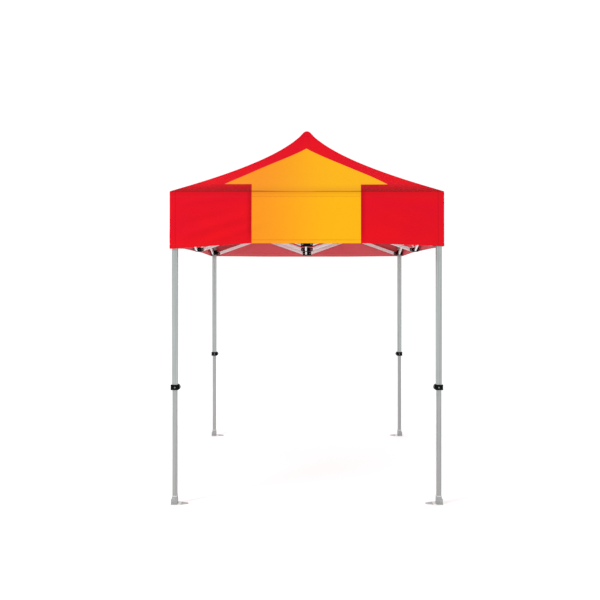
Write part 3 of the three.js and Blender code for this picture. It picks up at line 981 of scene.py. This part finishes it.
def peak_patch():
    """The patch sewn over the peak, where the cover wears on the pole."""
    rows = PATCH_ROWS
    top = (POINTS + NORMALS * PATCH_TOP)[:rows]
    under = (POINTS + NORMALS * PATCH_UNDER)[:rows]
    verts = np.concatenate([top.reshape(-1, 3), under.reshape(-1, 3)])
    skin, faces = rows * N_ALL, []
    for i in range(rows - 1):
        for j in range(N_ALL):
            k = (j + 1) % N_ALL
            faces.append((i * N_ALL + j, (i + 1) * N_ALL + j, (i + 1) * N_ALL + k, i * N_ALL + k))
            faces.append(tuple(skin + v for v in reversed(faces[-1])))
    for j in range(N_ALL):
        k = (j + 1) % N_ALL
        last = (rows - 1) * N_ALL
        faces.append((last + k, last + j, skin + last + j, skin + last + k))
        faces.append((j, k, skin + k, skin + j))
    mesh = bpy.data.meshes.new("peak_patch")
    mesh.from_pydata([tuple(v) for v in verts], [], faces)
    # 6 m along, the print is plain red.
    for label, along in (("print", 6.0), ("cloth", 0.0)):
        layer = mesh.uv_layers.new(name=label)
        corners = verts[[loop.vertex_index for loop in mesh.loops]][:, :2] + (along, 0.1)
        layer.data.foreach_set("uv", corners.astype(np.float32).ravel())
    bm = bmesh.new()
    bm.from_mesh(mesh)
    bmesh.ops.recalc_face_normals(bm, faces=bm.faces)
    bm.to_mesh(mesh)
    bm.free()
    o = piece("peak_patch", mesh, [COVER_OUT], "centre_pole", "cover_fabric")


def cover():
    """40 gores on the pole, 4 valances on the upper side brackets, and the peak's patch."""
    eave_row = len(ROOF_ROWS) - 1
    cuts = [s * N_SIDE + c for s in range(4) for c in STARTS]
    for k, first in enumerate(cuts):
        last = (cuts + [cuts[0] + N_ALL])[k + 1]
        o, grid = cloth_piece(f"roof_gore_{k + 1:02d}", (0, eave_row), first, last, "centre_pole")
        eave = grid[-1]
        # A hip strip's gather is worked out from where it turns a corner, the rest from their eave's middle.
        turn = [p for p in eave if abs(abs(p[0]) - abs(p[1])) < 0.002]
        middle = turn[0] if turn else 0.5 * (eave[0] + eave[-1])
        axis, keep = gather(grid, middle)
        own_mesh(o)
    keep = (FOLDED_HALF - CORNER_GAP) / HALF
    for s, side in enumerate(SIDES):
        rows, bracket = (eave_row, len(STATIONS) - 1), f"side_bracket_{side}_top"
        o, _ = cloth_piece(f"valance_{side}", rows, s * N_SIDE, (s + 1) * N_SIDE, bracket)
        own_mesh(o)
    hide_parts("canopy_cover")
    peak_patch()


# ---- Stage: floor, lights, camera ----
SENSOR = 36.0  # the camera's sensor width, in millimetres
PHOTO, FOCAL, SHIFT = 600, 619.0, (-6.9, -24.5)  # photo width, focal length and framing, in pixels


def stage():
    bm = bmesh.new()
    bmesh.ops.create_grid(bm, x_segments=2, y_segments=2, size=90)
    g = Graph("studio_floor")
    tone = g.noise(g.place(), 1.5, 2.0)
    colour = g.mix(g.span(tone, 0.3, 0.7), (0.955, 0.955, 0.955), (0.945, 0.945, 0.946))
    white = g.finish(colour, 0.9, Emission_Color=(1, 1, 1, 1), Emission_Strength=0.07)
    floor = new_object("studio_floor", bm, [white])
    floor.location = (0, 0, -0.0006)

    world = bpy.data.worlds.new("studio")
    bpy.context.scene.world = world
    world.use_nodes = True
    background = world.node_tree.nodes["Background"]
    background.inputs["Color"].default_value = (1, 1, 1, 1)
    background.inputs["Strength"].default_value = 1.06

    def lamp(name, at, aim, size, power):
        data = bpy.data.lights.new(name, "AREA")
        data.shape, data.size, data.energy = "SQUARE", size, power
        o = bpy.data.objects.new(name, data)
        o.location = at
        o.rotation_euler = (Vector(aim) - Vector(at)).to_track_quat("-Z", "Y").to_euler()
        bpy.context.scene.collection.objects.link(o)

    lamp("key", (-4.6, -3.4, 4.4), (0, 0, 1.4), 1.4, 130)
    lamp("fill", (4.5, -4.5, 2.6), (0, 0, 1.2), 3.0, 20)
    bpy.context.scene.view_settings.view_transform = "Standard"

    data = bpy.data.cameras.new("camera")
    data.sensor_width, data.lens = SENSOR, SENSOR * FOCAL / PHOTO
    data.shift_x, data.shift_y = SHIFT[0] / PHOTO, SHIFT[1] / PHOTO
    data.clip_end = 200
    camera = bpy.data.objects.new("camera", data)
    camera.location = (0.0, -4.197, 1.2744)
    camera.rotation_euler = (math.radians(90), 0, 0)
    bpy.context.scene.collection.objects.link(camera)
    bpy.context.scene.camera = camera


stage()
frame_parts()
fasteners()
cover()
for node, o in frame["nodes"].items():  # every CAD node has a finished material, shown or not
    slot = next(p["material_slot"] for p in frame["record"]["subparts"] if p["node"] == node)
    o.data.materials.clear()
    o.data.materials.append(MATERIALS.get(slot, COVER_OUT))
